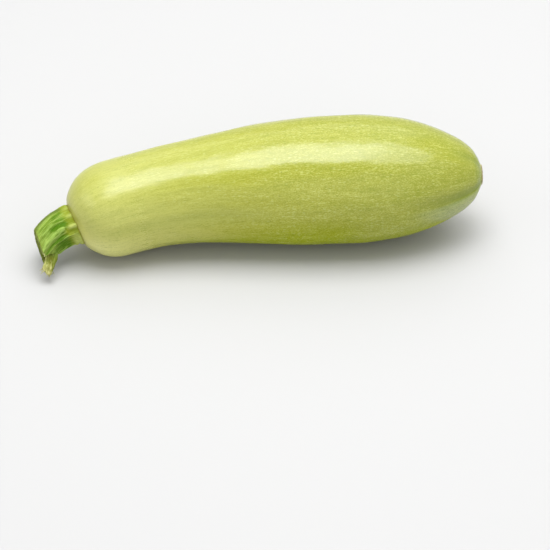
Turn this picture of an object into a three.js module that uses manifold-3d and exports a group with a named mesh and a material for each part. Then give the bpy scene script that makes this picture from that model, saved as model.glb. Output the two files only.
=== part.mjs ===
// A courgette lying on a table: a pale club-shaped fruit, its cut stalk, and the dry scar of its flower.
//
// Millimetres, +Z up. The stalk is at -X and the blossom end at +X. -Y is the front. The fruit's axis is a
// spine, nearly straight at the blossom end, that hooks forward and down at the stalk end. Five soft ribs go
// round it. The fruit lies on two small flats: one under its belly and one under its neck. The fruit and the
// stalk are each a straight turned or cylindrical shape whose vertices are then laid along a line.
import * as THREE from "three";
import { mergeVertices } from "three/addons/utils/BufferGeometryUtils.js";
import Module from "manifold-3d";

// Fruit. Distances along it are measured parallel to X, from the stalk end.
const FRUIT_LENGTH = 187.2;
const NECK_RADIUS = 22.2;
const BELLY_RADIUS = 29.4;
const SWELL = { start: 25, end: 116 }; // where the neck widens into the belly
const STALK_END = { length: 23, fullness: 2.8 }; // a blunt dome
const BLOSSOM_END = { length: 59, fullness: 1.94 }; // a long taper

// Spine.
const SPINE_HEIGHT = 30.5; // at the blossom end. The flats that the fruit lies on are half a millimetre deep.
const SPINE_SLOPE = 3.85; // how much lower a straight spine would be at the stalk end
const HOOK_DOWN = 8.8;
const HOOK_FORWARD = 14.6;
const HOOK_POWER = 4.75; // how late the hook begins
const SPINE_SHIFT = new THREE.Vector2(9.15, 3.2); // puts the origin under the middle of the whole object

// Ribs of the fruit. Angles round it start at the front and turn upwards.
const RIBS = 5;
const RIB_ANGLE = THREE.MathUtils.degToRad(50);
const RIB_HEIGHT = 0.012; // as a share of the radius
const RIB_FLATTENING = 0.002; // flattens the sides between the ribs

// Stalk. Distances along it start at the fruit, and angles round it at the inner side of its bend.
const STALK_RADIUS = 8.75;
const STALK_FOOT = { extra: 0.9, length: 3 }; // the flare against the fruit
const STALK_TAPER = 0.0045; // lost by the radius for each millimetre squared
const STALK_RISE = -0.12; // radians between the fruit's axis and the stalk's, before it droops
const STALK_TURN = 0.04; // radians of droop for each millimetre
const STALK_DROOP = new THREE.Vector3(0.415, -0.836, -0.358);
const STALK_SINK = 5; // how far it runs into the fruit before it is trimmed
const STALK_REACH = 32; // longer than the cuts leave
const STALK_RIB = { count: 5, angle: THREE.MathUtils.degToRad(-65), height: 0.04, sharpness: 0.025 };

// The stalk ends in a slanting knife cut and, on its inner side, a break.
const CUT = { distance: 21, normal: new THREE.Vector3(-0.96, -0.26, -0.09) };
const BREAK = { distance: 22.8, normal: new THREE.Vector3(0, -0.64, -0.77) };

// Torn strand that hangs from the break.
const STRAND_START = { distance: 14, inwards: 3.2 };
const STRAND_TIP = new THREE.Vector3(-12.8, -20.0, -12.8); // from the middle of the stalk's foot
const STRAND_RADIUS = { start: 3.1, end: 2.4 };

// Blossom scar.
const SCAR_RADIUS = 4.6;
const SCAR_THICKNESS = 0.7;
const SCAR_EDGE = 0.4; // rounding of its outer rim
const SCAR_SEAT = 1; // how much of the fruit's tip is flat

const GAP = 0.3; // between pieces that touch
const FRUIT_STEPS = { along: 52, round: 50 };
const STALK_STEPS = { along: 18, round: 50 };
const STRAND_STEPS = { along: 6, round: 12 };
const SCAR_STEPS = { edge: 3, round: 32 };

const UP = new THREE.Vector3(0, 0, 1);
const wasm = await Module();
wasm.setup();

// ---- Solids ------------------------------------------------------------------------------------------

function solidOf(geometry) {
  const bare = geometry.clone();
  bare.deleteAttribute("normal");
  bare.deleteAttribute("uv");
  const merged = mergeVertices(bare, 1e-4);
  const vertProperties = merged.attributes.position.array;
  const triVerts = new Uint32Array(merged.index.array);
  return new wasm.Manifold(new wasm.Mesh({ numProp: 3, vertProperties, triVerts }));
}

function geometryOf(solid) {
  const mesh = solid.getMesh();
  return new THREE.BufferGeometry()
    .setAttribute("position", new THREE.BufferAttribute(mesh.vertProperties, 3))
    .setIndex(new THREE.BufferAttribute(mesh.triVerts, 1));
}

// Everything on the side of a plane that its normal points to, as a block larger than the object.
function beyond(point, normal) {
  const size = 2 * FRUIT_LENGTH;
  const block = new THREE.BoxGeometry(size, size, size).translate(0, 0, size / 2);
  block.applyQuaternion(new THREE.Quaternion().setFromUnitVectors(UP, normal.clone().normalize()));
  return solidOf(block.translate(point.x, point.y, point.z));
}

// A point on a line, its direction there, and two directions across it. Angles go from front towards up.
function frameOn(at, along, front = along.clone().cross(UP).normalize()) {
  return { at, along, front, up: front.clone().cross(along) };
}

// Lays an upright shape along a line. frameOf gives the line's frame at a height of the upright shape, and
// radiusOf gives the distance from the line of a vertex that was at that radius, height and angle.
function laidAlong(geometry, frameOf, radiusOf = (radius) => radius) {
  const position = geometry.getAttribute("position");
  for (let i = 0; i < position.count; i++) {
    const height = position.getY(i);
    const angle = Math.atan2(position.getZ(i), position.getX(i));
    const radius = radiusOf(Math.hypot(position.getX(i), position.getZ(i)), height, angle);
    const { at, front, up } = frameOf(height);
    const vertex = at.clone().addScaledVector(front, radius * Math.cos(angle));
    vertex.addScaledVector(up, radius * Math.sin(angle));
    position.setXYZ(i, vertex.x, vertex.y, vertex.z);
  }
  return geometry;
}

// ---- Fruit -------------------------------------------------------------------------------------------

function spine(distance) {
  const back = 1 - distance / FRUIT_LENGTH; // 1 at the stalk end and 0 at the blossom end
  const hook = Math.sign(back) * Math.abs(back) ** HOOK_POWER;
  return new THREE.Vector3(
    distance - FRUIT_LENGTH / 2 + SPINE_SHIFT.x,
    SPINE_SHIFT.y - HOOK_FORWARD * hook,
    SPINE_HEIGHT - SPINE_SLOPE * back - HOOK_DOWN * hook,
  );
}

function fruitFrame(distance) {
  const step = 0.1;
  const along = spine(distance + step).sub(spine(distance - step)).normalize();
  return frameOn(spine(distance), along);
}

// A rounded end: 0 at its tip, and 1 from its own length onwards.
function dome(distance, { length, fullness }) {
  const left = 1 - THREE.MathUtils.clamp(distance / length, 0, 1);
  return (1 - left ** fullness) ** (1 / fullness);
}

function fruitRadius(distance) {
  const swelling = THREE.MathUtils.smoothstep(distance, SWELL.start, SWELL.end);
  const girth = THREE.MathUtils.lerp(NECK_RADIUS, BELLY_RADIUS, swelling);
  return girth * dome(distance, STALK_END) * dome(FRUIT_LENGTH - distance, BLOSSOM_END);
}

// The share that the ribs add to the radius. They are weaker underneath and towards the stalk.
function ribbing(distance, angle) {
  const turn = RIBS * (angle - RIB_ANGLE);
  const above = 0.6 + 0.4 * Math.sin(angle);
  const towardsBlossom = 0.55 + 0.45 * THREE.MathUtils.smoothstep(distance, 0, FRUIT_LENGTH);
  return above * towardsBlossom * (RIB_HEIGHT * Math.cos(turn) + RIB_FLATTENING * Math.cos(2 * turn));
}

// The fruit's skin, moved outwards by a margin. Its rings crowd together towards both ends.
function skin(margin) {
  const profile = [];
  for (let i = 0; i <= FRUIT_STEPS.along; i++) {
    const share = (1 - Math.cos((Math.PI * i) / FRUIT_STEPS.along)) / 2;
    const isTip = i === 0 || i === FRUIT_STEPS.along;
    const radius = isTip ? 0 : fruitRadius(share * FRUIT_LENGTH) + margin;
    profile.push(new THREE.Vector2(radius, share * FRUIT_LENGTH + margin * (2 * share - 1)));
  }
  const upright = new THREE.LatheGeometry(profile, FRUIT_STEPS.round);
  return laidAlong(upright, fruitFrame, (radius, distance, angle) => radius * (1 + ribbing(distance, angle)));
}

// ---- Stalk -------------------------------------------------------------------------------------------

const foot = fruitFrame(0);
const outward = foot.along.clone().negate();
const droop = STALK_DROOP.clone().addScaledVector(outward, -STALK_DROOP.dot(outward)).normalize();

// An arc that starts at the fruit and turns from outward towards droop. Inside the fruit it is straight.
function stalkFrame(distance) {
  const turn = STALK_RISE + STALK_TURN * Math.max(distance, 0);
  const along = outward.clone().multiplyScalar(Math.cos(turn)).addScaledVector(droop, Math.sin(turn));
  const inner = droop.clone().multiplyScalar(Math.cos(turn)).addScaledVector(outward, -Math.sin(turn));
  const at = foot.at.clone();
  at.addScaledVector(outward, (Math.sin(turn) - Math.sin(STALK_RISE)) / STALK_TURN);
  at.addScaledVector(droop, (Math.cos(STALK_RISE) - Math.cos(turn)) / STALK_TURN);
  at.addScaledVector(along, Math.min(distance, 0));
  return frameOn(at, along, inner);
}

function stalkRadius(distance, angle) {
  const flare = STALK_FOOT.extra * Math.exp(-Math.max(distance, 0) / STALK_FOOT.length);
  const turn = STALK_RIB.count * (angle - STALK_RIB.angle);
  const ribs = STALK_RIB.height * Math.cos(turn) + STALK_RIB.sharpness * Math.cos(2 * turn);
  return (STALK_RADIUS + flare - STALK_TAPER * distance ** 2) * (1 + ribs);
}

function stalkTube() {
  const length = STALK_SINK + STALK_REACH;
  const upright = new THREE.CylinderGeometry(1, 1, length, STALK_STEPS.round, STALK_STEPS.along);
  upright.translate(0, length / 2 - STALK_SINK, 0);
  return laidAlong(upright, stalkFrame, (radius, distance, angle) => radius * stalkRadius(distance, angle));
}

function strand() {
  const root = stalkFrame(STRAND_START.distance);
  const start = root.at.addScaledVector(root.front, STRAND_START.inwards);
  const along = foot.at.clone().add(STRAND_TIP).sub(start);
  const length = along.length();
  const { round, along: steps } = STRAND_STEPS;
  const upright = new THREE.CylinderGeometry(STRAND_RADIUS.end, STRAND_RADIUS.start, length, round, steps);
  upright.translate(0, length / 2, 0);
  along.normalize();
  return laidAlong(upright, (distance) => frameOn(start.clone().addScaledVector(along, distance), along));
}

// ---- Blossom scar ------------------------------------------------------------------------------------

// An upright disc with its underside at the origin and its upper rim rounded.
function scarDisc() {
  const profile = [new THREE.Vector2(0, 0), new THREE.Vector2(SCAR_RADIUS, 0)];
  for (let i = 0; i <= SCAR_STEPS.edge; i++) {
    const turn = (Math.PI / 2) * (i / SCAR_STEPS.edge);
    const radius = SCAR_RADIUS - SCAR_EDGE * (1 - Math.cos(turn));
    profile.push(new THREE.Vector2(radius, SCAR_THICKNESS - SCAR_EDGE * (1 - Math.sin(turn))));
  }
  profile.push(new THREE.Vector2(0, SCAR_THICKNESS));
  return new THREE.LatheGeometry(profile, SCAR_STEPS.round);
}

// ---- Object ------------------------------------------------------------------------------------------

const seat = fruitFrame(FRUIT_LENGTH - SCAR_SEAT); // the flat at the fruit's tip that the scar sits on
const table = beyond(new THREE.Vector3(), UP.clone().negate());
const knifeCut = beyond(stalkFrame(CUT.distance).at, CUT.normal);
const snappedOff = beyond(stalkFrame(BREAK.distance).at, BREAK.normal);

const fruit = solidOf(skin(0)).subtract(table).subtract(beyond(seat.at, seat.along));
const stalk = solidOf(stalkTube()).subtract(knifeCut).subtract(snappedOff).add(solidOf(strand()));

const courgette = new THREE.Group();
courgette.name = "courgette";

function add(name, solid, finish) {
  const mesh = new THREE.Mesh(geometryOf(solid), new THREE.MeshStandardMaterial(finish));
  mesh.name = name;
  courgette.add(mesh);
  return mesh;
}

add("fruit", fruit, { color: 0xb9c25a, roughness: 0.38, metalness: 0 });
add("stem", stalk.subtract(solidOf(skin(GAP))), { color: 0x7fa63a, roughness: 0.55, metalness: 0 });
const scar = add("blossom_scar", solidOf(scarDisc()), { color: 0xa98a5c, roughness: 0.85, metalness: 0 });
scar.quaternion.setFromUnitVectors(new THREE.Vector3(0, 1, 0), seat.along);
scar.position.copy(seat.at).addScaledVector(seat.along, GAP);

export default courgette;
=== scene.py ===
"""A pale green courgette lying on a pale floor, in soft studio light.

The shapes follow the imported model's own formulas, in millimetres. A mesh is scaled to metres when it is made.
The stalk is at -X, the blossom end at +X, and -Y is the front. Angles round the fruit start at the front and
turn upwards. Angles round the stalk start at the inner side of its bend.
"""

import math

import bpy
import numpy as np
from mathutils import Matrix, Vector, noise


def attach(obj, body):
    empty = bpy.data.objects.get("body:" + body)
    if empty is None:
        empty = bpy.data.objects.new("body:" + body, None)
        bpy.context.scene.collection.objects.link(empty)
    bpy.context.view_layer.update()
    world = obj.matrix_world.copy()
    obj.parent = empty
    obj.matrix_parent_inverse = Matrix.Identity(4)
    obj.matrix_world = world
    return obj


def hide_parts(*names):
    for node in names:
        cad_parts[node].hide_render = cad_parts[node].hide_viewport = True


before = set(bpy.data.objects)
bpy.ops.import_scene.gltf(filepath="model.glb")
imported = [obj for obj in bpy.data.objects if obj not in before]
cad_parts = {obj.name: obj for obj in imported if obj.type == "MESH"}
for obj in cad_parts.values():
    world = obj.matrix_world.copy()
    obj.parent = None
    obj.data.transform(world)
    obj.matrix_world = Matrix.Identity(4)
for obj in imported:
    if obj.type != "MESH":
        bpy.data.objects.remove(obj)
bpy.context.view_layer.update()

MM = 0.001
UP = np.array([0.0, 0.0, 1.0])

# Camera and light, in metres and degrees.
VIEW_ELEVATION = 40.0
VIEW_AZIMUTH = -1.633
VIEW_DISTANCE = 0.9045
VIEW_ANGLE = 15.8  # the whole angle of view
AIM = Vector((0.0063, -0.0294, 0.0))  # the point of the floor in the middle of the picture

# Softboxes: elevation and azimuth in degrees, shift along X, distance, width and depth in metres, and watts.
# The overhead ones overlap. Each is at a distance of its own, since level ones don't add up in a reflection.
SOFTBOXES = [
    ("overhead_1", 89.5, -8, -0.02, 1.1, 0.5, 0.675, 1.6),
    ("overhead_2", 90, -8, -0.04, 1.105, 0.68, 0.72, 2.8),
    ("overhead_3", 90.5, -5, 0.13, 1.11, 1.02, 0.77, 3.8),
    ("overhead_4", 90.5, -5, 0.22, 1.115, 1.36, 0.81, 7.9),
    ("behind", 132, 0, 0, 1.1, 1.1, 0.75, 2.8),
    ("front", 22, 0, 0, 1.3, 1.6, 0.9, 2.4),
    ("right", 45, 65, 0, 1.2, 0.9, 0.7, 1),
    ("left", 30, -78, 0, 1.2, 0.8, 0.5, 1.8),
]

FLOOR_REACH = 1.5
FLOOR_FADE = (0.35, 0.85)  # in metres from its middle, where the floor fades into the backdrop
FLOOR_GREY, FLOOR_ROUGHNESS = (0.475, 0.475, 0.475, 1), 0.9
WORLD_LIGHT, WORLD_SEEN = 0.675, 0.93

# Fruit. Distances along it are measured parallel to X, from the stalk end.
FRUIT_LENGTH = 187.2
NECK_RADIUS, BELLY_RADIUS = 22.2, 29.4
SWELL_START, SWELL_END = 25, 116
STALK_END_LENGTH, STALK_END_FULLNESS = 23, 2.8
BLOSSOM_END_LENGTH, BLOSSOM_END_FULLNESS = 59, 1.94
END_BULGE = 0.9
TIP_FULLNESS, TIP_LENGTH = 1.15, 11

# Spine of the fruit.
SPINE_HEIGHT, SPINE_SLOPE = 30.5, 3.85
HOOK_DOWN, HOOK_FORWARD, HOOK_POWER = 8.8, 14.6, 4.75
SPINE_SHIFT = (9.15, 3.2)

# Ribs of the fruit.
RIBS = 5
RIB_ANGLE = math.radians(50)
RIB_HEIGHT, RIB_FLATTENING = 0.012, 0.002  # as shares of the radius

# Stalk. Distances along it start at the fruit.
STALK_RADIUS = 8.75
STALK_FOOT_EXTRA, STALK_FOOT_LENGTH = 0.9, 3
STALK_TAPER = 0.0045
STALK_RISE = -0.12
STALK_TURN = 0.04
STALK_DROOP = np.array([0.415, -0.836, -0.358])
CUT_DISTANCE, CUT_NORMAL = 21.3, np.array([-0.941, -0.321, -0.105])
BREAK_DISTANCE, BREAK_NORMAL = 22.8, np.array([0, -0.64, -0.77])

# Blossom scar.
SCAR_SEAT = 1
SCAR_RADIUS = 4.6


# ---- Numbers ----------------------------------------------------------------


def smoothstep(x, low, high):
    share = np.clip((x - low) / (high - low), 0, 1)
    return share * share * (3 - 2 * share)


def unit(vectors):
    return vectors / np.linalg.norm(vectors, axis=-1, keepdims=True)


def lumps(points, size, offset):
    """Smooth noise from about -1 to 1, with lumps of a size, at each of the points."""
    flat = (np.asarray(points) / size + offset).reshape(-1, 3)
    values = [noise.noise(Vector(point)) for point in flat]
    return np.array(values).reshape(np.shape(points)[:-1])


# ---- Meshes -----------------------------------------------------------------


def placed(name, data):
    """A new object with this data, in the scene."""
    item = bpy.data.objects.new(name, data)
    bpy.context.scene.collection.objects.link(item)
    return item


def mesh_object(name, vertices, faces, attributes=(), uvs=None):
    mesh = bpy.data.meshes.new(name)
    mesh.from_pydata((np.asarray(vertices) * MM).tolist(), [], faces)
    for key, values in dict(attributes).items():
        if np.ndim(values) == 2:
            layer = mesh.attributes.new(key, "FLOAT_VECTOR", "POINT")
            layer.data.foreach_set("vector", np.asarray(values, np.float32).ravel())
        else:
            layer = mesh.attributes.new(key, "FLOAT", "POINT")
            layer.data.foreach_set("value", np.asarray(values, np.float32).ravel())
    if uvs is not None:
        layer = mesh.uv_layers.new(name="OFBake")
        layer.data.foreach_set("uv", np.asarray(uvs, np.float32).ravel())
    mesh.polygons.foreach_set("use_smooth", [True] * len(mesh.polygons))
    mesh.update()
    return placed(name, mesh)


def closed_tube(name, rings, first, last, attributes, heights=None):
    """A closed skin over rings of points, (rings, round, 3), with a point at each end.

    attributes maps a name to one value for each ring point, and a value for each of the two end points.
    heights, from 0 to 1, place the rings in the UV map, which is cut open along the first column.
    """
    count, around = rings.shape[:2]
    vertices = np.concatenate([rings.reshape(-1, 3), [first], [last]])
    start, end = count * around, count * around + 1
    if heights is None:
        heights = np.linspace(0.01, 0.99, count)
    faces, uvs = [], []
    for j in range(around):
        k = (j + 1) % around
        left, right, middle = j / around, (j + 1) / around, (j + 0.5) / around
        faces.append((start, j, k))
        uvs += [(middle, 0), (left, heights[0]), (right, heights[0])]
        for i in range(count - 1):
            faces.append((i * around + j, (i + 1) * around + j, (i + 1) * around + k, i * around + k))
            uvs += [(left, heights[i]), (left, heights[i + 1]), (right, heights[i + 1]), (right, heights[i])]
        top = (count - 1) * around
        faces.append((top + j, end, top + k))
        uvs += [(left, heights[-1]), (middle, 1), (right, heights[-1])]
    layers = {}
    for key, (values, at_first, at_last) in attributes.items():
        values = np.asarray(values)
        flat = values.reshape(count * around, -1)
        ends = np.array([at_first, at_last], float).reshape(2, -1)
        joined = np.concatenate([flat, ends])
        layers[key] = joined if joined.shape[1] > 1 else joined[:, 0]
    return mesh_object(name, vertices, faces, layers, uvs)


# ---- Materials --------------------------------------------------------------


def srgb(red, green, blue):
    """A colour given as on a screen, from 0 to 255, as the linear colour that shaders use."""
    channels = [value / 255 for value in (red, green, blue)]
    linear = [c / 12.92 if c <= 0.04045 else ((c + 0.055) / 1.055) ** 2.4 for c in channels]
    return (*linear, 1.0)


class Finish:
    """A material, with short calls for its nodes. A socket given as an input is linked to it."""

    def __init__(self, name, base):
        self.material = bpy.data.materials.new(name)
        self.material.use_nodes = True
        self.tree = self.material.node_tree
        self.shader = self.tree.nodes["Principled BSDF"]
        self.base = base

    def put(self, socket, value):
        if isinstance(value, bpy.types.NodeSocket):
            self.tree.links.new(value, socket)
        else:
            socket.default_value = value

    def node(self, kind, inputs, output=0, **settings):
        node = self.tree.nodes.new("ShaderNode" + kind)
        for key, value in settings.items():
            setattr(node, key, value)
        for key, value in inputs.items():
            self.put(node.inputs[key], value)
        return node.outputs[output]

    def attribute(self, name, output="Fac"):
        return self.node("Attribute", {}, output, attribute_name=name)

    def axis(self, vector, index):
        return self.node("SeparateXYZ", {0: vector}, index)

    def math(self, operation, a, b=0.0):
        return self.node("Math", {0: a, 1: b}, operation=operation)

    def plus(self, a, b):
        return self.math("ADD", a, b)

    def times(self, a, b):
        return self.math("MULTIPLY", a, b)

    def scaled(self, vector, scales):
        return self.node("VectorMath", {0: vector, 1: scales}, operation="MULTIPLY")

    def noise(self, vector, scales, detail=2.0, roughness=0.5):
        """Noise with a scale for each axis. A greater scale makes the lumps shorter on that axis."""
        place = self.scaled(vector, scales)
        inputs = {"Vector": place, "Scale": 1.0, "Detail": detail, "Roughness": roughness}
        return self.node("TexNoise", inputs)

    def cells(self, vector, scales, output="Distance"):
        return self.node("TexVoronoi", {"Vector": self.scaled(vector, scales), "Scale": 1.0}, output)

    def ramp(self, value, low, high, to_low=0.0, to_high=1.0, kind="SMOOTHSTEP"):
        """value from low to high becomes to_low to to_high, and stays there outside that range."""
        inputs = {"Value": value, "From Min": low, "From Max": high, "To Min": to_low, "To Max": to_high}
        return self.node("MapRange", inputs, interpolation_type=kind, clamp=True)

    def mix(self, amount, colour, other):
        return self.node("Mix", {"Factor": amount, 6: colour, 7: other}, 2, data_type="RGBA")

    def coat(self, colour, value, low=None, high=None, most=1.0, kind="SMOOTHSTEP"):
        """Lays a colour over the base. Its amount is value, or goes from 0 at low to most at high."""
        amount = value if low is None else self.ramp(value, low, high, 0, most, kind)
        self.base = self.mix(amount, self.base, colour)

    def bump(self, height, distance, strength, under=None):
        """A bump that is distance high, in metres, where height is 1. It may lie over another one, under."""
        inputs = {"Height": height, "Distance": distance, "Strength": strength}
        if under is not None:
            inputs["Normal"] = under
        return self.node("Bump", inputs)

    def surface(self, **inputs):
        self.put(self.shader.inputs["Base Color"], self.base)
        for key, value in inputs.items():
            self.put(self.shader.inputs[key.replace("_", " ")], value)
        return self.material


# The grain is a place on a surface, in millimetres, that its patterns follow. On the skin, the first number
# is the distance over it from the middle of the stalk end. The other two go round the fruit on a circle of
# GRAIN_RADIUS: the second is how far to the front, and the third, the height, is how far above the middle.
# On the stalk and the strand, the first number is the distance along, and the others go across.

NECK, BELLY, BLOSSOM_HALF = srgb(171, 173, 90), srgb(153, 156, 50), srgb(142, 148, 49)
YELLOW_PATCH, UPPER_PAINTED_SHADE = srgb(154, 153, 40), srgb(134, 138, 34)
# The next two colours are painted light for the lower side near the stalk.
LOWER_SIDE_PAINTED_LIGHT, STALK_END_PAINTED_LIGHT = srgb(206, 205, 112), srgb(228, 226, 150)  # the lower side near the stalk
# The next two colours are painted shade and a painted greenish reflection for the underside.
UNDERSIDE_PAINTED_SHADE, LOWEST_PAINTED_SHADE = srgb(144, 156, 2), srgb(152, 162, 6)
FACET_PAINTED_REFLECTION, TIP_GREEN = srgb(150, 160, 106), srgb(116, 136, 36)
LIGHT_GRAIN, DARK_GRAIN = srgb(185, 188, 98), srgb(114, 130, 16)
DASH, PIT, GROOVE = srgb(192, 197, 116), srgb(84, 92, 22), srgb(104, 121, 6)
RING_PAINTED_LIGHT, YELLOWED_RING, BROWN_EDGE = srgb(208, 206, 124), srgb(158, 146, 58), srgb(134, 126, 38)
GRAIN_DEPTH, SPECK_DEPTH, SKIN_BUMP = 0.00005, 0.00001, 0.4
SKIN_IOR, FULL_SHINE = 1.52, 0.5


def skin_tones(finish, grain, distance, height, facet, before_end):
    """The skin's broad tones, from the pale neck to the greener blossom end, with painted light on the lower
    side near the stalk, painted shade on the top and the underside, and a painted reflection on the facet.
    """
    finish.coat(BELLY, distance, 0, 100)
    finish.coat(BLOSSOM_HALF, distance, 100, 200)
    finish.coat(YELLOW_PATCH, finish.noise(grain, (0.035, 0.09, 0.09), 3.0), 0.45, 0.7, 0.25)
    # Painted light: the lower side is made paler, and creamier near the stalk end.
    below = finish.plus(finish.ramp(height, 14, 4, 0, 0.38), finish.ramp(height, 2, -20, 0, 0.45))
    finish.coat(LOWER_SIDE_PAINTED_LIGHT, finish.times(below, finish.ramp(distance, 140, 30)))
    painted_bounce = finish.times(finish.ramp(height, 6, -8), finish.ramp(distance, 50, 6, 0, 0.8))
    finish.coat(STALK_END_PAINTED_LIGHT, painted_bounce)
    # Painted shade: the upper side of the belly is made darker.
    above = finish.times(finish.ramp(height, 6, 22, 0, 0.35), finish.ramp(distance, 80, 125))
    finish.coat(UPPER_PAINTED_SHADE, above)
    # Painted shade and a painted greenish reflection: the underside is made darker and greener.
    underside_shade = finish.times(finish.ramp(height, 4, -16, 0, 0.85), finish.ramp(distance, 75, 120))
    finish.coat(UNDERSIDE_PAINTED_SHADE, finish.times(underside_shade, before_end))
    lowest_shade = finish.times(finish.ramp(height, -7, -18, 0, 0.75), finish.ramp(distance, 35, 75))
    finish.coat(LOWEST_PAINTED_SHADE, lowest_shade)
    # Painted reflection: the facet below the front furrow is made pale grey.
    finish.coat(FACET_PAINTED_REFLECTION, finish.times(facet, 0.85))
    finish.coat(TIP_GREEN, distance, 201, 208, 0.5)


def skin_dashes(finish, grain, distance):
    """Short pale dashes, clearer towards the blossom end. Only some cells of the skin have one."""
    scales = (0.42, 1.5, 1.5)
    dash = finish.ramp(finish.cells(grain, scales), 0.5, 0.1)
    lot = finish.node("SeparateColor", {0: finish.cells(grain, scales, "Color")}, 0)
    gathered = finish.noise(grain, (0.04, 0.3, 0.3))
    chosen = finish.ramp(finish.plus(finish.times(lot, 0.5), gathered), 0.75, 1.0)
    strength = finish.ramp(finish.ramp(distance, 20, 120), 0, 1, 0.32, 0.54)
    finish.coat(DASH, finish.times(finish.times(dash, chosen), strength))


def skin_ring(finish, height, threads):
    """The ring of skin round the stalk: painted light below, yellowed above, with a thin ragged brown edge."""
    near = finish.attribute("near")
    low = finish.ramp(height, 20, 10)
    # Painted light: the ring is made paler on its lower part.
    finish.coat(RING_PAINTED_LIGHT, finish.times(low, finish.ramp(near, 7, 2, 0, 0.6)))
    yellowed = finish.times(finish.ramp(near, 7, 0, 0, 0.3), finish.ramp(low, 0, 1, 1, 0.3))
    finish.coat(YELLOWED_RING, yellowed)
    finish.coat(BROWN_EDGE, finish.plus(near, finish.times(threads, 0.8)), 1.4, 0.5, 0.6)


def skin_shine(finish, distance, height, facet, before_end):
    """How much the skin reflects: less on its lower side, except on the facet, and less at the tip."""
    dull = finish.times(finish.ramp(height, 6, -8, 0, 0.47), finish.ramp(distance, 40, 95, 0.25, 1))
    dull = finish.times(dull, finish.math("MAXIMUM", before_end, finish.ramp(height, -8, -15)))
    dull = finish.times(dull, finish.ramp(facet, 0, 0.7, 1, 0.1))
    dull = finish.math("MAXIMUM", dull, finish.ramp(distance, 200, 207, 0, 0.38))
    return finish.math("SUBTRACT", FULL_SHINE, dull)


def skin_finish():
    finish = Finish("skin", NECK)
    grain = finish.attribute("grain", "Vector")
    facet = finish.attribute("facet")
    distance, height = finish.axis(grain, 0), finish.axis(grain, 2)
    before_end = finish.ramp(distance, 135, 155, 1, 0.4)
    skin_tones(finish, grain, distance, height, facet, before_end)

    streaks = finish.noise(grain, (0.05, 0.5, 0.5))
    threads = finish.noise(grain, (0.26, 2.2, 2.2), 2.0, 0.6)
    specks = finish.noise(grain, (1.3, 3.5, 3.5), 1.0)
    lengthwise = finish.plus(finish.times(streaks, 0.4), finish.times(threads, 0.7))
    speckled = finish.ramp(distance, 70, 130)
    tone = finish.plus(lengthwise, finish.times(specks, finish.ramp(speckled, 0, 1, 0.75, 1.35)))
    tone = finish.math("SUBTRACT", tone, finish.ramp(speckled, 0, 1, 0.925, 1.225))
    tone = finish.times(tone, finish.ramp(distance, 2, 30, 0.6, 0.92))
    tone = finish.times(tone, finish.ramp(height, 0, -15, 1, 1.3))
    finish.coat(LIGHT_GRAIN, tone, 0, 0.4, 0.8, "LINEAR")
    finish.coat(DARK_GRAIN, tone, 0, -0.4, 0.8, "LINEAR")

    skin_dashes(finish, grain, distance)
    pits = finish.ramp(finish.cells(grain, (0.16, 0.16, 0.16)), 0.07, 0.03)
    finish.coat(PIT, finish.times(pits, 0.45))
    finish.coat(GROOVE, finish.times(finish.attribute("groove"), 0.7))
    skin_ring(finish, height, threads)

    normal = finish.bump(lengthwise, GRAIN_DEPTH, SKIN_BUMP)
    normal = finish.bump(specks, SPECK_DEPTH, SKIN_BUMP, normal)
    roughness = finish.ramp(distance, 75, 25, 0.18, 0.31)
    roughness = finish.plus(roughness, finish.ramp(tone, -0.4, 0.4, -0.02, 0.04, "LINEAR"))
    shine = skin_shine(finish, distance, height, facet, before_end)
    return finish.surface(Roughness=roughness, IOR=SKIN_IOR, Specular_IOR_Level=shine, Normal=normal)


OUTER_GREEN, INNER_PAINTED_SHADE = srgb(108, 133, 36), srgb(72, 106, 4)
BLOTCH, CUT_END = srgb(76, 112, 10), srgb(142, 156, 70)
LIGHT_FIBRE, DARK_FIBRE, PRICKLE = srgb(144, 170, 80), srgb(68, 102, 4), srgb(152, 174, 92)
SHADED, VEIN, FOOT_LINE = srgb(84, 98, 40), srgb(166, 188, 96), srgb(124, 120, 32)
FOOT_DARK, FOOT_LIGHT, FINGER = srgb(112, 127, 18), srgb(138, 149, 42), srgb(178, 188, 102)
PALE_STREAK, PALE_FOOT_STREAK = srgb(148, 176, 84), srgb(180, 192, 96)
DARK_STREAK, DARK_FOOT_STREAK = srgb(68, 108, 0), srgb(106, 126, 12)
TORN_DARK, TORN_LIGHT = srgb(104, 110, 34), srgb(150, 162, 76)
DRY_DARK, DRY_LIGHT, LIP = srgb(94, 104, 32), srgb(122, 134, 58), srgb(196, 202, 132)
FIBRE_DEPTH, PRICKLE_DEPTH = 0.00025, 0.0001


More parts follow.
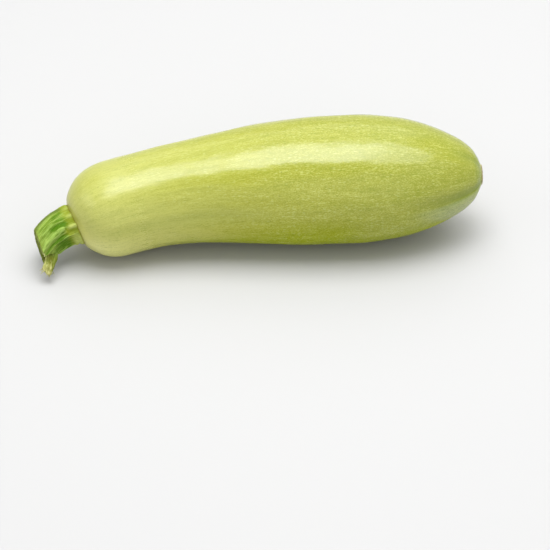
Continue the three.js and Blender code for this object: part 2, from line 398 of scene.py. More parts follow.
def stalk_finish():
    finish = Finish("stalk", OUTER_GREEN)
    grain = finish.attribute("grain", "Vector")
    tone = finish.attribute("tone")
    fibres = finish.noise(grain, (0.2, 2.0, 2.0), 3.0, 0.65)
    blotches = finish.noise(grain, (0.22, 0.5, 0.5))
    prickles = finish.ramp(finish.cells(grain, (1.15, 1.15, 1.15)), 0.28, 0.1)
    lighter = finish.ramp(fibres, 0.35, 0.65)
    # Painted shade: the inner, lower side of the stalk's bend is made darker green.
    finish.coat(INNER_PAINTED_SHADE, finish.axis(grain, 1), -7, 6)
    finish.coat(BLOTCH, blotches, 0.48, 0.34, 0.4)
    finish.coat(CUT_END, finish.axis(grain, 0), 12, 20, 0.5)
    finish.coat(LIGHT_FIBRE, fibres, 0.51, 0.64, 0.45)
    finish.coat(DARK_FIBRE, fibres, 0.48, 0.35, 0.55)
    finish.coat(PRICKLE, finish.times(prickles, 0.3))
    finish.coat(SHADED, finish.times(finish.attribute("shaded"), 0.75))

    edge = finish.plus(finish.attribute("past_foot"), finish.times(blotches, 3.0))
    foot = finish.ramp(finish.plus(edge, finish.times(fibres, 3.0)), 4.8, 1.4)
    finish.coat(finish.mix(lighter, FOOT_DARK, FOOT_LIGHT), foot)
    finish.coat(FINGER, finish.times(finish.attribute("finger"), finish.ramp(fibres, 0.3, 0.55, 0.6, 1.0)))
    finish.coat(finish.mix(foot, PALE_STREAK, PALE_FOOT_STREAK), tone, 0, 1, 0.9)
    finish.coat(finish.mix(foot, DARK_STREAK, DARK_FOOT_STREAK), tone, 0, -1, 0.9)
    veins = finish.noise(grain, (0.07, 0.9, 0.9), 1.0)
    off_vein = finish.math("ABSOLUTE", finish.math("SUBTRACT", veins, 0.5))
    not_dark = finish.ramp(tone, -0.3, 0.1, 0.15, 1)
    finish.coat(VEIN, finish.times(finish.ramp(off_vein, 0.045, 0.01, 0, 0.35), not_dark))
    finish.coat(FOOT_LINE, finish.plus(finish.attribute("above"), finish.times(blotches, 0.4)), 1.0, 0.3, 0.6)

    finish.coat(finish.mix(lighter, TORN_DARK, TORN_LIGHT), finish.attribute("torn"))
    dry_tone = finish.mix(finish.ramp(blotches, 0.35, 0.65), DRY_DARK, DRY_LIGHT)
    finish.coat(dry_tone, finish.attribute("dry"))
    finish.coat(LIP, finish.attribute("lip"))
    normal = finish.bump(fibres, FIBRE_DEPTH, 0.7)
    normal = finish.bump(prickles, PRICKLE_DEPTH, 0.5, normal)
    roughness = finish.ramp(fibres, 0.3, 0.7, 0.5, 0.66)
    return finish.surface(Roughness=roughness, Specular_IOR_Level=0.11, Normal=normal)


STRAND_LEFT, STRAND_MIDDLE, STRAND_RIGHT = srgb(126, 136, 48), srgb(106, 114, 24), srgb(96, 110, 24)
STRAND_PALE_EDGE, STRAND_ROOT, STRAND_TIP = srgb(178, 182, 108), srgb(76, 108, 16), srgb(164, 162, 98)
STRAND_DARK, STRAND_LIGHT = srgb(92, 94, 24), srgb(186, 184, 112)
STRAND_KNOT, STRAND_FRAYED = srgb(104, 108, 26), srgb(200, 197, 138)


def strand_finish():
    finish = Finish("torn_strand", STRAND_LEFT)
    grain = finish.attribute("grain", "Vector")
    distance, side = finish.axis(grain, 0), finish.axis(grain, 1)
    fibres = finish.noise(grain, (0.22, 2.0, 2.0), 3.0, 0.6)
    knots = finish.noise(grain, (0.55, 1.0, 1.0), 1.0)
    tip = finish.math("SUBTRACT", distance, finish.ramp(side, 0.2, 1.6, 0, 2.5))
    finish.coat(STRAND_MIDDLE, side, -2.2, -0.2)
    finish.coat(STRAND_RIGHT, side, 0.0, 1.8)
    finish.coat(STRAND_PALE_EDGE, side, -1.5, -2.4, 0.8)
    finish.coat(STRAND_ROOT, distance, 5.0, 2.2)
    finish.coat(STRAND_TIP, tip, 7.5, 11)
    finish.coat(STRAND_DARK, fibres, 0.5, 0.3, 0.6)
    finish.coat(STRAND_LIGHT, fibres, 0.5, 0.72, 0.7)
    finish.coat(STRAND_KNOT, knots, 0.48, 0.32, 0.5)
    frayed = finish.times(finish.ramp(knots, 0.52, 0.66, 0, 0.5), finish.ramp(tip, 5, 8))
    finish.coat(STRAND_FRAYED, frayed)
    normal = finish.bump(fibres, FIBRE_DEPTH, 0.8)
    roughness = finish.ramp(fibres, 0.3, 0.7, 0.52, 0.68)
    return finish.surface(Roughness=roughness, Specular_IOR_Level=0.2, Normal=normal)


CORK_DARK, CORK_LIGHT, CORK_HOLLOW = srgb(96, 80, 44), srgb(136, 120, 76), srgb(80, 64, 38)
FRAYED_DARK, FRAYED_LIGHT = srgb(160, 158, 96), srgb(206, 202, 152)
CRUMBS, CRUMB_DEPTH = (900.0, 900.0, 900.0), 0.0002  # to a metre along each axis, and in metres


def scar_finish():
    finish = Finish("cork", CORK_DARK)
    crumbs = finish.noise(finish.node("TexCoord", {}, "Object"), CRUMBS, 4.0, 0.65)
    lighter = finish.ramp(crumbs, 0.35, 0.65)
    finish.coat(CORK_LIGHT, lighter)
    finish.coat(CORK_HOLLOW, finish.attribute("hollow"))
    finish.coat(finish.mix(lighter, FRAYED_DARK, FRAYED_LIGHT), finish.attribute("pale"))
    normal = finish.bump(crumbs, CRUMB_DEPTH, 1.0)
    return finish.surface(Roughness=finish.ramp(crumbs, 0.35, 0.65, 0.92, 0.78), Normal=normal)


def floor_finish():
    finish = Finish("floor", FLOOR_GREY)
    place = finish.node("TexCoord", {}, "Object")
    reach = finish.node("VectorMath", {0: place}, "Value", operation="LENGTH")
    shown = finish.ramp(reach, *FLOOR_FADE, 1, 0)
    return finish.surface(Roughness=FLOOR_ROUGHNESS, Specular_IOR_Level=0.0, Alpha=shown)


# ---- Fruit ------------------------------------------------------------------

FRUIT_RINGS, FRUIT_AROUND = 260, 300
SEAT_RINGS = (0.85, 0.6, 0.3)  # rings under the scar, as shares of the last ring of the skin
# Angle of the front furrow at the stalk and at the blossom end, and where it turns from one to the other.
FRONT_FURROW, FURROW_TURN = (math.radians(8), math.radians(1)), (115, 170)
FURROW_DEPTH, FURROW_WIDTH = 0.7, 0.16
# How far the facet reaches below the furrow, in degrees, at some distances from the tip.
FACET_PLACES, FACET_REACHES = (0, 12, 22, 36), (60, 44, 22, 8)
# Unevenness of the skin: height of the lumps, how much a step along X counts, and their size and offset.
UNEVENNESS = [(0.3, 0.9, 18, 3), (0.12, 0.5, 5, 9), (0.03, 0.5, 1.8, 6)]
END_TAPER = 12  # the skin gets smoother this close to its ends
GRAIN_RADIUS = 27.0


def spine(distance):
    back = 1 - distance / FRUIT_LENGTH
    hook = np.sign(back) * np.abs(back) ** HOOK_POWER
    x = distance - FRUIT_LENGTH / 2 + SPINE_SHIFT[0]
    y = SPINE_SHIFT[1] - HOOK_FORWARD * hook
    z = SPINE_HEIGHT - SPINE_SLOPE * back - HOOK_DOWN * hook
    return np.stack([x, y, z], -1)


def fruit_frame(distance):
    step = 0.1
    along = unit(spine(distance + step) - spine(distance - step))
    front = unit(np.cross(along, UP))
    return spine(distance), along, front, np.cross(front, along)


def dome(distance, length, fullness):
    left = 1 - np.clip(distance / length, 0, 1)
    return (1 - left**fullness) ** (1 / fullness)


def fruit_radius(distance):
    swelling = smoothstep(distance, SWELL_START, SWELL_END)
    girth = NECK_RADIUS + (BELLY_RADIUS - NECK_RADIUS) * swelling
    stalk_end = dome(distance, STALK_END_LENGTH, STALK_END_FULLNESS)
    blossom_end = dome(FRUIT_LENGTH - distance, BLOSSOM_END_LENGTH, BLOSSOM_END_FULLNESS)
    return girth * stalk_end * blossom_end


def ribbing(distance, angle):
    turn = RIBS * (angle - RIB_ANGLE)
    above = 0.6 + 0.4 * np.sin(angle)
    towards_blossom = 0.55 + 0.45 * smoothstep(distance, 0, FRUIT_LENGTH)
    return above * towards_blossom * (RIB_HEIGHT * np.cos(turn) + RIB_FLATTENING * np.cos(2 * turn))


def furrow_line(distance):
    at_stalk, at_blossom = FRONT_FURROW
    return at_stalk + (at_blossom - at_stalk) * smoothstep(distance, *FURROW_TURN)


def furrow(distance, angle):
    """1 in the middle of the furrows between the ribs, near the blossom end, and 0 away from them.

    The front one also shows faintly near the stalk.
    """
    line, from_tip = furrow_line(distance), FRUIT_LENGTH - distance
    above = ((RIBS * (angle - line) + math.pi) % (2 * math.pi) - math.pi) / RIBS
    front = 0.5 + 0.5 * np.cos(angle - line)
    folded = front**4 * smoothstep(from_tip, 60, 30)
    width = np.where(above > 0, FURROW_WIDTH + 0.1 * folded, FURROW_WIDTH - 0.07 * folded)
    length = 15 + 25 * front**4
    at_blossom = (0.45 + 0.55 * front**4) * smoothstep(from_tip, length, 6)
    at_stalk = 0.3 * front**4 * smoothstep(distance, 3, 14) * smoothstep(distance, 105, 50)
    return np.exp(-((above / width) ** 2)) * (at_blossom + at_stalk)


def facet(distance, angle):
    """1 on the face below the front furrow, near the blossom end, where a pale reflection is painted, and 0
    away from it.
    """
    below = np.degrees(furrow_line(distance) - angle)
    from_tip = FRUIT_LENGTH - distance
    reach = np.interp(from_tip, FACET_PLACES, FACET_REACHES)
    return smoothstep(below, 1, 6) * smoothstep(below, reach + 12, reach - 4) * smoothstep(from_tip, 40, 14)


def end_bulge(off_axis):
    """How much fuller than its dome the fruit is round the stalk."""
    return END_BULGE * smoothstep(off_axis, 17.5, 11)


def make_fruit():
    turn = np.linspace(0, math.pi, FRUIT_RINGS)[1:, None]
    distance = (1 - np.cos(turn)) / 2 * (FRUIT_LENGTH - SCAR_SEAT)
    angle = np.linspace(0, 2 * math.pi, FRUIT_AROUND, endpoint=False)[None, :] - math.pi / 2
    middle, along, front, up = fruit_frame(distance)
    furrows = furrow(distance, angle)
    from_tip = FRUIT_LENGTH - distance
    fuller = TIP_FULLNESS * np.exp(-((from_tip / TIP_LENGTH) ** 2)) * smoothstep(from_tip, 0.5, 5)
    radius = fruit_radius(distance) * (1 + ribbing(distance, angle)) + fuller
    out = front * np.cos(angle)[..., None] + up * np.sin(angle)[..., None]
    points = middle + out * radius[..., None]
    uneven = 0
    for height, along_x, size, offset in UNEVENNESS:
        uneven = uneven + height * lumps(points * (along_x, 1, 1), size, offset)
    taper = smoothstep(distance, 0, END_TAPER) * smoothstep(from_tip, 0, END_TAPER)
    radius = radius + uneven * taper - FURROW_DEPTH * furrows * np.minimum(1, radius / 12)
    points = middle + out * radius[..., None]
    at_stalk = end_bulge(radius) * smoothstep(distance, 12, 6)
    points = points - along * at_stalk[..., None]
    points[..., 2] = np.maximum(points[..., 2], 0)  # nothing is below the floor

    seat_middle = fruit_frame(np.array(FRUIT_LENGTH - SCAR_SEAT))[0]
    inner = [seat_middle + (points[-1] - seat_middle) * share for share in SEAT_RINGS]
    points = np.concatenate([points, inner])

    steps = np.linalg.norm(np.diff(points, axis=0), axis=-1).mean(-1)
    to_first = np.linalg.norm(points[0] - spine(np.array(0.0)), axis=-1).mean()
    arc = np.concatenate([[0], np.cumsum(steps)]) + to_first
    frontward, upward = GRAIN_RADIUS * np.cos(angle), GRAIN_RADIUS * np.sin(angle)
    grain = np.stack(np.broadcast_arrays(arc[:, None], frontward, upward), -1)
    seat = np.zeros((len(inner), FRUIT_AROUND))
    grooves = np.concatenate([furrows, seat])
    facets = np.concatenate([facet(distance, angle), seat])
    first = spine(np.array(0.0)) - END_BULGE * fruit_frame(np.array(0.0))[1]
    attributes = {
        "grain": (grain, (0, 0, 0), (arc[-1], 0, 0)),
        "groove": (grooves, 0, 0),
        "facet": (facets, 0, 0),
        "near": (near_stalk(points), 0, FRUIT_LENGTH),
    }
    piece = closed_tube("fruit_skin", points, first, seat_middle, attributes, arc / (arc[-1] + 2))
    piece.data.materials.append(skin_finish())
    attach(piece, "root")
    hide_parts("fruit")


# ---- Stalk ------------------------------------------------------------------

STALK_RINGS, STALK_AROUND = 140, 300
STALK_START = -4.0
# Rings of the end face, from the rim inwards, as shares of the radius.
END_SHARES = (0.955, 0.93, 0.905, 0.88, 0.86, 0.84, 0.82, 0.8, 0.77, 0.74, 0.7, 0.65, 0.59, 0.52, 0.44, 0.35,
              0.26, 0.17, 0.08)
END_SEARCH, END_HALVINGS = (8.0, 34.0), 18  # the end is looked for between these distances
SIDE_SHARE = 0.965  # rings with a greater share of the radius are on the side
RIM_GAP, RIM_TUCK = 0.1, 0.02  # how far short of the end the side's last ring is, and how much narrower
FOOT_SIDE = 0.3  # the angle at which the foot is widest
COLLAR_EXTRA, COLLAR_PLACE, COLLAR_LENGTH = 0.7, -0.8, 2.0
VALLEY = -0.45
STREAK_RELIEF = 0.12
DIP_DEPTH, DIP_PLACE, DIP_LENGTH = 0.15, 5.0, 1.5  # the ridges are a little lower here
# Roughness of the cut and of the break: height, size and offset of the lumps.
CUT_ROUGH, BREAK_ROUGH = (0.12, 1.6, 5), (0.4, 1.1, 12)
# Ridges of the stalk: angle at the foot and at the cut in degrees, height in mm, half width in degrees, and
# the distance where the ridge rises out of the foot.
STALK_RIDGES = [
    (12, 12, 1.0, 13, 2),
    (-33, -36, 0.7, 5, 3),
    (-61, -63, 1.5, 10, 6),
    (-86, -96, 0.7, 8, 5),
    (-103, -113, 0.45, 6, 2.5),
    (-141, -141, 1.25, 14, 1),
    (-174, -176, 0.6, 7, 4),
    (-211, -208, 1.35, 12, 5),
    (-246, -244, 0.6, 7, 3),
    (-282, -280, 1.3, 12, 6),
    (-316, -316, 0.7, 7, 3),
]
# Short pale fingers at the foot: angle, height, half width, length and paleness.
STALK_FINGERS = [
    (-57.5, 0.6, 6.5, 4.6, 1.0),
    (-90, 0.35, 8, 3.0, 0.65),
    (-125, 0.3, 10, 3.0, 0.4),
    (-146, 0.1, 6, 5.0, 0.5),
    (-5, 0.3, 27, 4.6, 0.95),
    (50, 0.6, 8, 4.0, 0.8),
    (84, 0.4, 7, 3.4, 0.6),
    (118, 0.7, 9, 4.6, 0.9),
    (150, 0.4, 6, 3.6, 0.6),
    (176, 0.6, 8, 4.4, 0.8),
]
# Streaks along the stalk: strength, above 0 for a pale one and below 0 for a dark one, half width in degrees,
# and the distance and angle of the points that it runs through.
STALK_STREAKS = [
    (0.5, 1.8, [(0, -33), (24, -36)]),
    (-0.9, 4, [(6, -41), (24, -42)]),
    (0.5, 4, [(6, -49.5), (24, -52)]),
    (1.0, 2.3, [(6.6, -58), (10, -56), (16, -56), (24, -61)]),
    (0.55, 5, [(6.6, -62), (14, -63), (24, -66)]),
    (0.8, 2, [(6, -65), (10.5, -68)]),
    (0.3, 5, [(11, -71), (20, -70)]),
    (-1.0, 7, [(3.8, -70), (6, -74), (9, -79), (12.5, -82)]),
    (-0.6, 1.3, [(15, -77), (19, -79)]),
    (0.35, 4, [(13.5, -81), (20, -84)]),
    (-0.5, 1.3, [(16, -87), (18.5, -90)]),
    (0.7, 1.7, [(5, -84), (9.3, -88)]),
    (-0.5, 5, [(3.8, -92), (8.5, -95)]),
    (0.5, 5, [(9.5, -92), (17, -94)]),
    (0.55, 1.7, [(3, -99), (9, -101.5)]),
    (-1.0, 5, [(4.3, -118), (8.5, -118)]),
    (0.5, 1.4, [(9, -105), (18, -110)]),
    (-0.7, 1.5, [(6, -107), (9, -107)]),
    (-0.3, 2, [(9, -109), (16, -114)]),
    (0.4, 6, [(5, -122), (15, -127)]),
    (-0.5, 1.3, [(0, -8), (4, -9)]),
    (-0.5, 1.3, [(0.2, -15), (3.8, -15)]),
    (-0.45, 1.3, [(0.4, -21), (4, -22)]),
    (0.4, 1.5, [(0, -3), (4.2, -4)]),
    (-0.5, 6, [(-1, -72), (3, -74)]),
    (-0.4, 8, [(-1, -43), (4.5, -43)]),
    (-0.6, 9, [(6, -12), (18, -14)]),
]
# How far the yellowish foot reaches up the stalk at some angles.
FOOT_ANGLES = (-180, -150, -130, -115, -103, -90, -75, -62, -56, -45, -34, -20, 20, 60, 100, 140, 180)
FOOT_REACHES = (4.5, 4.2, 3.4, 3.6, 4.2, 3.7, 3.2, 3.6, 5.2, 6.5, 5.0, 4.6, 4.6, 6.0, 4.2, 5.5, 4.5)
# Ridges, by their angle at the foot, with a pale streak on top and a streak of painted shade beside it.
STREAKED_RIDGES = (-174, -211, -246, -282, -316, 12)
# The shaded band on the back of the upper ridge: where it begins, is full, still is full, and has ended.
SHADED_ANGLES = (-174, -165, -134, -124)
FLAP_ANGLE, FLAP_WIDTH, FLAP_REACH = math.radians(86), math.radians(26), 5.5
SPIKE_ANGLE, SPIKE_WIDTH, SPIKE_REACH = math.radians(-44), math.radians(6), 1.2
HOLLOW = 0.9  # of the cut face
LIP_ANGLE, LIP_WIDTH = math.radians(-52), 12  # the pale lip at the corner of the cut and the break

foot_middle, foot_along, _, _ = fruit_frame(np.array(0.0))
outward = -foot_along
droop = unit(STALK_DROOP - outward * STALK_DROOP.dot(outward))


def stalk_frame(distance):
    distance = np.asarray(distance, float)
    turn = (STALK_RISE + STALK_TURN * np.maximum(distance, 0))[..., None]
    along = outward * np.cos(turn) + droop * np.sin(turn)
    inner = droop * np.cos(turn) - outward * np.sin(turn)
    middle = foot_middle + outward * (np.sin(turn) - math.sin(STALK_RISE)) / STALK_TURN
    middle = middle + droop * (math.cos(STALK_RISE) - np.cos(turn)) / STALK_TURN
    middle = middle + along * np.minimum(distance, 0)[..., None]
    return middle, along, inner, np.cross(inner, along)


def turned_off(angle, centre):
    """The angle from a centre, from -pi to pi."""
    return (angle - centre + math.pi) % (2 * math.pi) - math.pi


def streak(distance, angle, width, places, angles):
    """How close points are to the middle of a streak through some places, from 0 to 1."""
    middle = np.interp(distance, places, angles) + 1.2 * np.sin(0.8 * distance + angles[0])
    off = np.abs(turned_off(angle, np.radians(middle))) / math.radians(width)
    begun = smoothstep(distance, places[0] - 0.7, places[0] + 0.7)
    return np.exp(-(off**2.6)) * begun * smoothstep(distance, places[-1] + 0.8, places[-1] - 0.8)


def stalk_tone(distance, angle):
    """How pale, up to 1, or dark, down to -1, the streaks make the stalk."""
    tone = 0 * (distance + angle)
    for strength, width, path in STALK_STREAKS:
        places, angles = np.array(path, float).T
        tone = tone + strength * streak(distance, angle, width, places, angles)
    for foot_angle, cut_angle, _, width, start in STALK_RIDGES:
        if foot_angle in STREAKED_RIDGES:
            places, angles = np.array([start + 0.5, 24]), np.array([foot_angle, cut_angle])
            tone = tone + 0.7 * streak(distance, angle, 0.3 * width, places, angles)
            # Painted shade: a dark streak beside each of these ridges.
            tone = tone - 0.7 * streak(distance, angle, 5, places, angles + width + 5)
    return np.clip(tone, -1, 1)


def stalk_relief(distance, angle):
    """How far the surface is from a plain tube, and how close it is to a finger, from 0 to 1."""
    dip = 1 - DIP_DEPTH * np.exp(-(((distance - DIP_PLACE) / DIP_LENGTH) ** 2))
    relief, finger = VALLEY + STREAK_RELIEF * stalk_tone(distance, angle), 0
    share = np.clip(distance / CUT_DISTANCE, 0, 1)
    for foot_angle, cut_angle, height, width, start in STALK_RIDGES:
        middle = np.radians(foot_angle + (cut_angle - foot_angle) * share)
        middle = middle + 0.025 * np.sin(distance * 0.45 + foot_angle)
        off = np.abs(turned_off(angle, middle)) / math.radians(width)
        risen = smoothstep(distance, start - 1.0, start + 1.0)
        relief = relief + height * np.exp(-(off**2)) * (0.3 + 0.7 * risen) * dip
    for middle, height, width, length, paleness in STALK_FINGERS:
        off = np.abs(turned_off(angle, math.radians(middle))) / math.radians(width)
        profile = np.exp(-(off**2.5)) * smoothstep(distance, length + 1.2, length - 2.0)
        relief = relief + height * profile
        finger = np.maximum(finger, profile * paleness)
    return relief, finger


def stalk_radius(distance, angle):
    past_foot, side = np.maximum(distance, 0), np.cos(angle - FOOT_SIDE)
    flare = STALK_FOOT_EXTRA * np.exp(-past_foot / STALK_FOOT_LENGTH) * (0.6 + 0.4 * side)
    collar = COLLAR_EXTRA * np.exp(-(((distance - COLLAR_PLACE) / COLLAR_LENGTH) ** 2))
    collar = collar * (0.5 + 0.5 * side) ** 3
    taper = STALK_TAPER * past_foot**2
    return STALK_RADIUS + (flare + collar) - taper + stalk_relief(distance, angle)[0]


def stalk_point(distance, angle, share):
    middle, _, inner, up = stalk_frame(distance)
    radius = stalk_radius(distance, angle) * share
    return middle + inner * (radius * np.cos(angle))[..., None] + up * (radius * np.sin(angle))[..., None]


def near_stalk(points):
    """How far points of the fruit's end are outside the stalk's foot."""
    _, _, inner, up = stalk_frame(0.0)
    offset = points - foot_middle
    across, upward = offset @ inner, offset @ up
    beside = np.hypot(across, upward) - stalk_radius(0.0 * across, np.arctan2(upward, across))
    return beside + np.maximum(0, offset @ foot_along - 5)


def above_fruit(points):
    """How far points of the stalk are above the fruit's end."""
    offset = points - foot_middle
    depth = offset @ foot_along
    off_axis = np.linalg.norm(offset - depth[..., None] * foot_along, axis=-1)
    flatness = 1 - np.clip(off_axis / NECK_RADIUS, 0, 1) ** STALK_END_FULLNESS
    return STALK_END_LENGTH * (1 - flatness ** (1 / STALK_END_FULLNESS)) - end_bulge(off_axis) - depth


def off_ends(points, angle, share):
    """How far points are past the slanting knife cut, and past the break on the stalk's inner side."""
    cut = (points - stalk_frame(CUT_DISTANCE)[0]) @ unit(CUT_NORMAL)
    snapped = (points - stalk_frame(BREAK_DISTANCE)[0]) @ unit(BREAK_NORMAL)
    cut = cut + HOLLOW * smoothstep(share, 0.84, 0.5) + CUT_ROUGH[0] * lumps(points, *CUT_ROUGH[1:])
    outside = smoothstep(share, 0.74, 0.9)
    flap = np.exp(-((turned_off(angle, FLAP_ANGLE) / FLAP_WIDTH) ** 4)) * outside
    spike = np.exp(-np.abs(turned_off(angle, SPIKE_ANGLE) / SPIKE_WIDTH)) * outside
    snapped = snapped + BREAK_ROUGH[0] * lumps(points, *BREAK_ROUGH[1:])
    return cut, snapped - FLAP_REACH * flap - SPIKE_REACH * spike


def past_end(points, angle, share):
    return np.maximum(*off_ends(points, angle, share))


def stalk_end(angle, share):
    """The distance at which each line along the stalk meets its end."""
    low, high = [np.full(angle.shape, place) for place in END_SEARCH]
    for _ in range(END_HALVINGS):
        middle = (low + high) / 2
        outside = past_end(stalk_point(middle, angle, share), angle, share) > 0
        high = np.where(outside, middle, high)
        low = np.where(outside, low, middle)
    return low


def make_stalk():
    angle = np.linspace(0, 2 * math.pi, STALK_AROUND, endpoint=False)
    from_inner = np.degrees(turned_off(angle, 0))
    rim = stalk_end(angle, np.ones(STALK_AROUND))
    lengths, shares = [], []
    for step in np.linspace(0, 1, STALK_RINGS) ** 0.97:
        shares.append(np.full(STALK_AROUND, 1 - RIM_TUCK * smoothstep(step, 0.98, 1)))
        lengths.append(STALK_START + (rim - RIM_GAP - STALK_START) * step)
    for part in END_SHARES:
        shares.append(np.full(STALK_AROUND, part))
        lengths.append(stalk_end(angle, shares[-1]))
    lengths, shares = np.array(lengths), np.array(shares)
    rings = stalk_point(lengths, angle, shares)
    above = above_fruit(rings)
    reach = np.interp(from_inner, FOOT_ANGLES, FOOT_REACHES)
    cut, snapped = off_ends(rings, angle, shares)
    broken = smoothstep(snapped - cut, -0.3, 0.5)
    at_end = np.where(shares > SIDE_SHARE, smoothstep(rim - lengths, 0.9, 0.3), 1.0)
    at_break = np.where(shares > SIDE_SHARE, smoothstep(rim - lengths, 0.5, 0.1), 1.0)
    begins, full, still_full, ends = SHADED_ANGLES
    shaded = smoothstep(from_inner, begins, full) * smoothstep(from_inner, ends, still_full) + 0 * lengths
    off_lip = np.degrees(turned_off(angle, LIP_ANGLE))
    lip = smoothstep(rim - lengths, 0.75, 0.4) * smoothstep(np.abs(off_lip), LIP_WIDTH, LIP_WIDTH - 6)
    lip = lip * smoothstep(shares, 0.95, 0.97)
    off_axis = STALK_RADIUS * shares
    grain = np.stack([lengths, off_axis * np.cos(angle), off_axis * np.sin(angle)], -1)
    on_axis = np.zeros(1)
    end = stalk_end(on_axis, on_axis)
    first = stalk_point(np.array([STALK_START]), on_axis, on_axis)[0]
    last = stalk_point(end, on_axis, on_axis)[0]
    attributes = {
        "grain": (grain, (STALK_START, 0, 0), (end[0], 0, 0)),
        "above": (above, STALK_START, end[0]),
        "past_foot": (above - reach, STALK_START, end[0]),
        "tone": (stalk_tone(lengths, angle), 0, 0),
        "finger": (stalk_relief(lengths, angle)[1], 0, 0),
        "shaded": (shaded, 0, 0),
        "dry": (at_end * (1 - broken), 0, 1),
        "torn": (at_break * broken, 0, 0),
        "lip": (lip, 0, 0),
    }
    piece = closed_tube("stalk", rings, first, last, attributes)
    piece.data.materials.append(stalk_finish())
    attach(piece, "root")
    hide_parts("stem")


# ---- Torn strand ------------------------------------------------------------

# Knots of the strand's middle line, from the middle of the stalk's foot, and their places along it.
STRAND_KNOTS = np.array([
    [-9.9, -11.8, -4.6],
    [-10.2, -14.2, -7.3],
    [-11.3, -17.4, -10.0],
    [-11.8, -21.4, -13.4],
])
STRAND_PLACES = (0, 0.25, 0.58, 1)
STRAND_FACING = np.array([0.0, -0.77, 0.64])
# Bundles of the strand: offsets across it at the first three knots and at the bundle's own end, in mm, the
# share of the strand that it reaches, and its offset towards the facing side.
STRAND_BUNDLES = [
    (-1.5, -1.95, -1.75, -2.5, 0.78, 0.5),
    (-1.0, -1.3, -1.2, -1.7, 0.84, 0.6),
    (-0.5, -0.65, -0.7, -0.8, 0.9, 0.35),
    (0.1, 0.05, -0.1, -0.1, 0.95, 0.15),
    (0.7, 0.7, 0.5, 0.5, 0.95, 0.4),
    (1.0, 1.4, 1.1, 0.9, 0.86, 0.6),
    (1.1, 2.0, 1.6, 1.2, 0.8, 0.3),
    (-1.2, -1.6, -1.5, -2.2, 0.72, -0.7),
    (-0.4, -0.6, -0.6, -1.0, 0.8, -0.8),
    (0.5, 0.5, 0.3, 0.2, 0.9, -0.8),
    (1.3, 1.5, 1.2, 1.0, 0.8, -0.6),
]
BUNDLE_RADIUS, BUNDLE_STEPS = 0.8, 30
HAIRS_ON_BUNDLE, HAIR_RADII, HAIR_STEPS = 3, (0.2, 0.06), 10
FIBRE_AROUND = 14
TUBE_SIDE = (0.3, 1.0, 0.2)  # a direction that no tube runs along
JOIN_STEP = 0.16  # the bundles are joined to one skin on a grid of this step, in mm


def tubes_mesh(name, tubes):
    """One mesh of closed tubes. Each tube is a path, (steps, 3), and a radius for each of its points."""
    vertices, faces = [], []
    turns = np.linspace(0, 2 * math.pi, FIBRE_AROUND, endpoint=False)
    for path, radii in tubes:
        along = unit(np.gradient(path, axis=0))
        side = unit(np.cross(along, TUBE_SIDE))
        other = np.cross(along, side)
        ring = side[:, None] * np.cos(turns)[:, None] + other[:, None] * np.sin(turns)[:, None]
        rings = path[:, None] + ring * radii[:, None, None]
        base, count = len(vertices), len(path)
        vertices += rings.reshape(-1, 3).tolist() + [path[0].tolist(), path[-1].tolist()]
        start, end = base + count * FIBRE_AROUND, base + count * FIBRE_AROUND + 1
        for j in range(FIBRE_AROUND):
            k = (j + 1) % FIBRE_AROUND
            faces.append((start, base + k, base + j))
            for i in range(count - 1):
                low, high = base + i * FIBRE_AROUND, base + (i + 1) * FIBRE_AROUND
                faces.append((low + j, low + k, high + k, high + j))
            top = base + (count - 1) * FIBRE_AROUND
            faces.append((top + j, top + k, end))
    return mesh_object(name, vertices, faces)


def through(places, values, at):
    """A smooth curve through values at places, read at other places."""
    powers = np.vander(places, len(places))
    return np.vander(at, len(places)) @ np.linalg.solve(powers, np.asarray(values, float))


def smooth_path(knots, steps):
    """A smooth path through the first and last knots that is drawn towards the one between them."""
    first, middle, last = [np.asarray(knot, float) for knot in knots]
    share = np.linspace(0, 1, steps)[:, None]
    return (1 - share) ** 2 * first + 2 * share * (1 - share) * middle + share**2 * last


def give_grain(piece, along, across, facing):
    co = np.zeros(len(piece.data.vertices) * 3)
    piece.data.vertices.foreach_get("co", co)
    offset = co.reshape(-1, 3) / MM - (foot_middle + STRAND_KNOTS[0])
    grain = np.stack([offset @ along, offset @ across, offset @ facing], -1)
    layer = piece.data.attributes.new("grain", "FLOAT_VECTOR", "POINT")
    layer.data.foreach_set("vector", grain.astype(np.float32).ravel())


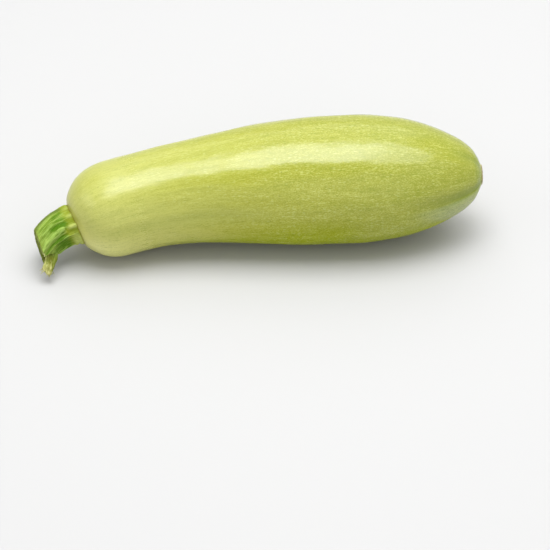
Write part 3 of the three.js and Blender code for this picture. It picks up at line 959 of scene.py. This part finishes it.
def make_strand():
    along = unit(STRAND_KNOTS[-1] - STRAND_KNOTS[0])
    across = unit(np.cross(STRAND_FACING, along))
    across = across * np.sign(across[0])
    facing = unit(STRAND_FACING - along * STRAND_FACING.dot(along))
    random = np.random.default_rng(4)
    tubes, hairs = [], []
    for i, (at_root, at_exit, at_middle, at_tip, reach, forward) in enumerate(STRAND_BUNDLES):
        place = np.linspace(0, reach, BUNDLE_STEPS)
        share = np.linspace(0, 1, BUNDLE_STEPS)
        middle = foot_middle + through(STRAND_PLACES, STRAND_KNOTS, place)
        ends = np.array([0, STRAND_PLACES[1], min(STRAND_PLACES[2], reach - 0.1), reach])
        sideways = np.interp(place, ends, [at_root, at_exit, at_middle, at_tip])
        sideways = np.convolve(np.pad(sideways, 3, mode="edge"), np.ones(7) / 7, "valid")
        forwards = forward * (1 + 0.25 * np.sin(share * 5 + i)) - 1.0 * smoothstep(share, 0.35, 0)
        path = middle + across * sideways[:, None] + facing * forwards[:, None]
        radii = BUNDLE_RADIUS * random.uniform(0.9, 1.1) * (1 - 0.25 * smoothstep(share, 0.8, 1.0))
        radii = radii * (1 + 0.08 * np.sin(share * 17 + i))
        tubes.append((path, radii))
        heading = unit(path[-1] - path[-4])
        for _ in range(HAIRS_ON_BUNDLE):
            start = path[-3] + across * random.uniform(-0.5, 0.5) + facing * random.uniform(-0.4, 0.4)
            lean = heading + across * random.uniform(-0.5, 0.5) + facing * random.uniform(-0.4, 0.4)
            lean = lean + across * 0.25 * at_tip
            length = random.uniform(1.0, 2.4)
            bend = across * random.uniform(-0.4, 0.4) + facing * random.uniform(-0.3, 0.3)
            knots = [start, start + lean * length * 0.5, start + lean * length + bend]
            hairs.append((smooth_path(knots, HAIR_STEPS), np.linspace(*HAIR_RADII, HAIR_STEPS)))
    piece = tubes_mesh("torn_strand", tubes)
    remesh = piece.modifiers.new("join", "REMESH")
    remesh.mode = "VOXEL"
    remesh.voxel_size = JOIN_STEP * MM
    smooth = piece.modifiers.new("smooth", "SMOOTH")
    smooth.factor, smooth.iterations = 0.5, 2
    evaluated = piece.evaluated_get(bpy.context.evaluated_depsgraph_get())
    piece.data = bpy.data.meshes.new_from_object(evaluated)
    piece.modifiers.clear()
    piece.data.polygons.foreach_set("use_smooth", [True] * len(piece.data.polygons))

    wisps = tubes_mesh("strand_fibres", hairs)
    finish = strand_finish()
    for part in (piece, wisps):
        give_grain(part, along, across, facing)
        part.data.materials.append(finish)
        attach(part, "root")
        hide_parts("stem")


# ---- Blossom scar -----------------------------------------------------------

SCAR_AROUND = 96
# Rings of the scar from the seat out and over: share of its radius, and height above the seat.
SCAR_RINGS = [(0.8, -0.3), (1.0, -0.1), (1.02, 0.3), (0.98, 0.55), (0.92, 0.66), (0.84, 0.62), (0.74, 0.55),
              (0.62, 0.5), (0.5, 0.4), (0.38, 0.2), (0.26, 0.1), (0.14, 0.25)]
PALE_ANGLE, PALE_WIDTH = math.radians(-42), math.radians(30)  # where its rim is frayed and pale


def make_scar():
    middle, along, front, up = fruit_frame(np.array(FRUIT_LENGTH - SCAR_SEAT))
    angle = np.linspace(0, 2 * math.pi, SCAR_AROUND, endpoint=False)
    rings, hollows, pales = [], [], []
    for share, height in SCAR_RINGS:
        wander = 1 + 0.05 * np.sin(3 * angle + 1) + 0.03 * np.sin(7 * angle) + 0.015 * np.sin(23 * angle)
        radius = SCAR_RADIUS * share * wander
        lift = height + 0.06 * np.sin(19 * angle + 3 * share) * smoothstep(share, 0.1, 0.5)
        at = middle + front * (radius * np.cos(angle))[:, None] + up * (radius * np.sin(angle))[:, None]
        rings.append(at + along * lift[:, None])
        hollows.append(np.full(len(angle), float(smoothstep(share, 0.55, 0.3)) if height > 0 else 0.0))
        frayed = np.exp(-((turned_off(angle, PALE_ANGLE) / PALE_WIDTH) ** 2)) * smoothstep(share, 0.7, 0.9)
        pales.append(np.maximum(frayed, smoothstep(height, 0.4, 0.15) * smoothstep(share, 0.75, 0.9)))
    attributes = {"hollow": (np.array(hollows), 0, 1), "pale": (np.array(pales), 1, 0)}
    piece = closed_tube("scar", np.array(rings), middle - 0.3 * along, middle + 0.3 * along, attributes)
    piece.data.materials.append(scar_finish())
    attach(piece, "root")
    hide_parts("blossom_scar")


# ---- Studio -----------------------------------------------------------------


def make_camera():
    data = bpy.data.cameras.new("camera")
    data.angle = math.radians(VIEW_ANGLE)
    camera = placed("camera", data)
    camera.rotation_euler = (math.radians(90 - VIEW_ELEVATION), 0, math.radians(VIEW_AZIMUTH))
    camera.location = AIM + camera.rotation_euler.to_matrix() @ Vector((0, 0, VIEW_DISTANCE))
    bpy.context.scene.camera = camera


def softbox(name, elevation, azimuth, shift, distance, width, depth, power):
    data = bpy.data.lights.new(name, "AREA")
    data.shape = "RECTANGLE"
    data.size, data.size_y = width, depth
    data.energy = power
    light = placed(name, data)
    light.visible_camera = False
    light.rotation_euler = (math.radians(90 - elevation), 0, math.radians(azimuth))
    light.location = light.rotation_euler.to_matrix() @ Vector((0, 0, distance)) + Vector((shift, 0, 0))


def make_studio():
    scene = bpy.context.scene
    scene.view_settings.view_transform = "Standard"
    world = bpy.data.worlds.new("studio")
    world.use_nodes = True
    tree = world.node_tree
    strength = tree.nodes.new("ShaderNodeMapRange")
    strength.inputs["To Min"].default_value = WORLD_LIGHT
    strength.inputs["To Max"].default_value = WORLD_SEEN
    tree.links.new(tree.nodes.new("ShaderNodeLightPath").outputs["Is Camera Ray"], strength.inputs["Value"])
    tree.nodes["Background"].inputs["Color"].default_value = (1, 1, 1, 1)
    tree.links.new(strength.outputs[0], tree.nodes["Background"].inputs["Strength"])
    scene.world = world
    for row in SOFTBOXES:
        softbox(*row)
    mesh = bpy.data.meshes.new("floor")
    corners = [(-1, -1), (1, -1), (1, 1), (-1, 1)]
    mesh.from_pydata([(FLOOR_REACH * x, FLOOR_REACH * y, 0) for x, y in corners], [], [(0, 1, 2, 3)])
    floor = placed("floor", mesh)
    mesh.materials.append(floor_finish())


make_camera()
make_studio()
make_fruit()
make_stalk()
make_strand()
make_scar()
